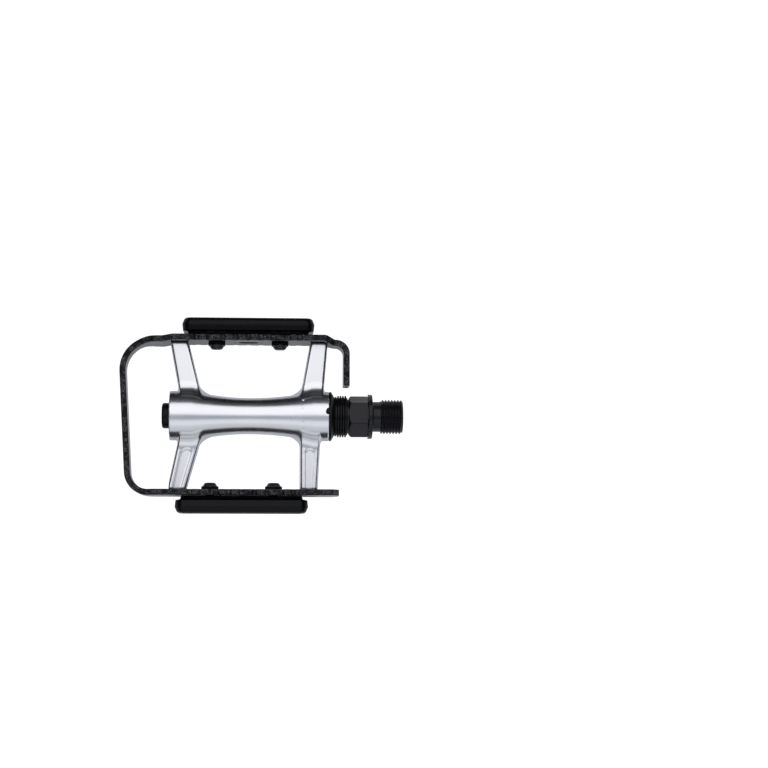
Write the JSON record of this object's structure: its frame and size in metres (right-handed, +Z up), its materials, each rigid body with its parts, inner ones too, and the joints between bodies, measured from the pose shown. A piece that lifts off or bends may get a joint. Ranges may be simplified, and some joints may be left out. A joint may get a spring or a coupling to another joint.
{
  "type": "bicycle cage pedal",
  "caption": "Left bicycle pedal: barrel body with arms, toothed steel cage with outboard loop and inboard hook, bolted reflectors, threaded axle in ball bearings.",
  "frame": {"origin": "centre of the axle's flat crank end face, on the spin axis", "axes": "+X along the axle towards the crank, +Y towards the front plate with the hook, +Z up out of the pedal's open face"},
  "size_m": [0.1164, 0.0798, 0.0206],
  "materials": {
    "axle_steel": "black oxide, satin",
    "bearing_steel": "ground and polished",
    "forged_aluminium": "forged, satin polished",
    "seal_plastic": "moulded, satin",
    "cap_plastic": "moulded, satin",
    "cage_steel": "black coated, semi-gloss",
    "screw_steel": "black zinc",
    "nut_steel": "black zinc, semi-gloss",
    "housing_plastic": "moulded, gloss",
    "amber_lens": "clear amber with reflecting prisms"
  },
  "bodies": {
    "axle_set": {"axle": "axle_steel", "outboard_cone": "bearing_steel", "lock_washer": "bearing_steel", "lock_nut": "bearing_steel"},
    "pedal": {"body": "forged_aluminium", "inboard_cup": "bearing_steel", "outboard_cup": "bearing_steel", "axle_seal": "seal_plastic", "dust_cap": "cap_plastic", "cage": "cage_steel", "cage_screw_front_outboard": "screw_steel", "cage_screw_front_inboard": "screw_steel", "cage_screw_rear_outboard": "screw_steel", "cage_screw_rear_inboard": "screw_steel", "front_reflector_housing": "housing_plastic", "front_reflector_lens": "amber_lens", "front_stud_outboard": "screw_steel", "front_nut_outboard": "nut_steel", "front_stud_inboard": "screw_steel", "front_nut_inboard": "nut_steel", "rear_reflector_housing": "housing_plastic", "rear_reflector_lens": "amber_lens", "rear_stud_outboard": "screw_steel", "rear_nut_outboard": "nut_steel", "rear_stud_inboard": "screw_steel", "rear_nut_inboard": "nut_steel"},
    "inboard_ball_set": {"inboard_balls": "bearing_steel"},
    "outboard_ball_set": {"outboard_balls": "bearing_steel"}
  },
  "joints": [
    {"name": "pedal_spin", "type": "hinge", "parent": "axle_set", "child": "pedal", "pos_m": [-0.0632, 0, 0], "axis": [1, 0, 0], "continuous": true},
    {"name": "inboard_ball_spin", "type": "hinge", "parent": "axle_set", "child": "inboard_ball_set", "pos_m": [-0.0375, 0, 0], "axis": [1, 0, 0], "continuous": true},
    {"name": "outboard_ball_spin", "type": "hinge", "parent": "axle_set", "child": "outboard_ball_set", "pos_m": [-0.085, 0, 0], "axis": [1, 0, 0], "continuous": true}
  ],
  "couplings": [
    {"joint": "inboard_ball_spin", "follows": "pedal_spin", "ratio": 0.6113},
    {"joint": "outboard_ball_spin", "follows": "pedal_spin", "ratio": 0.5951}
  ]
}
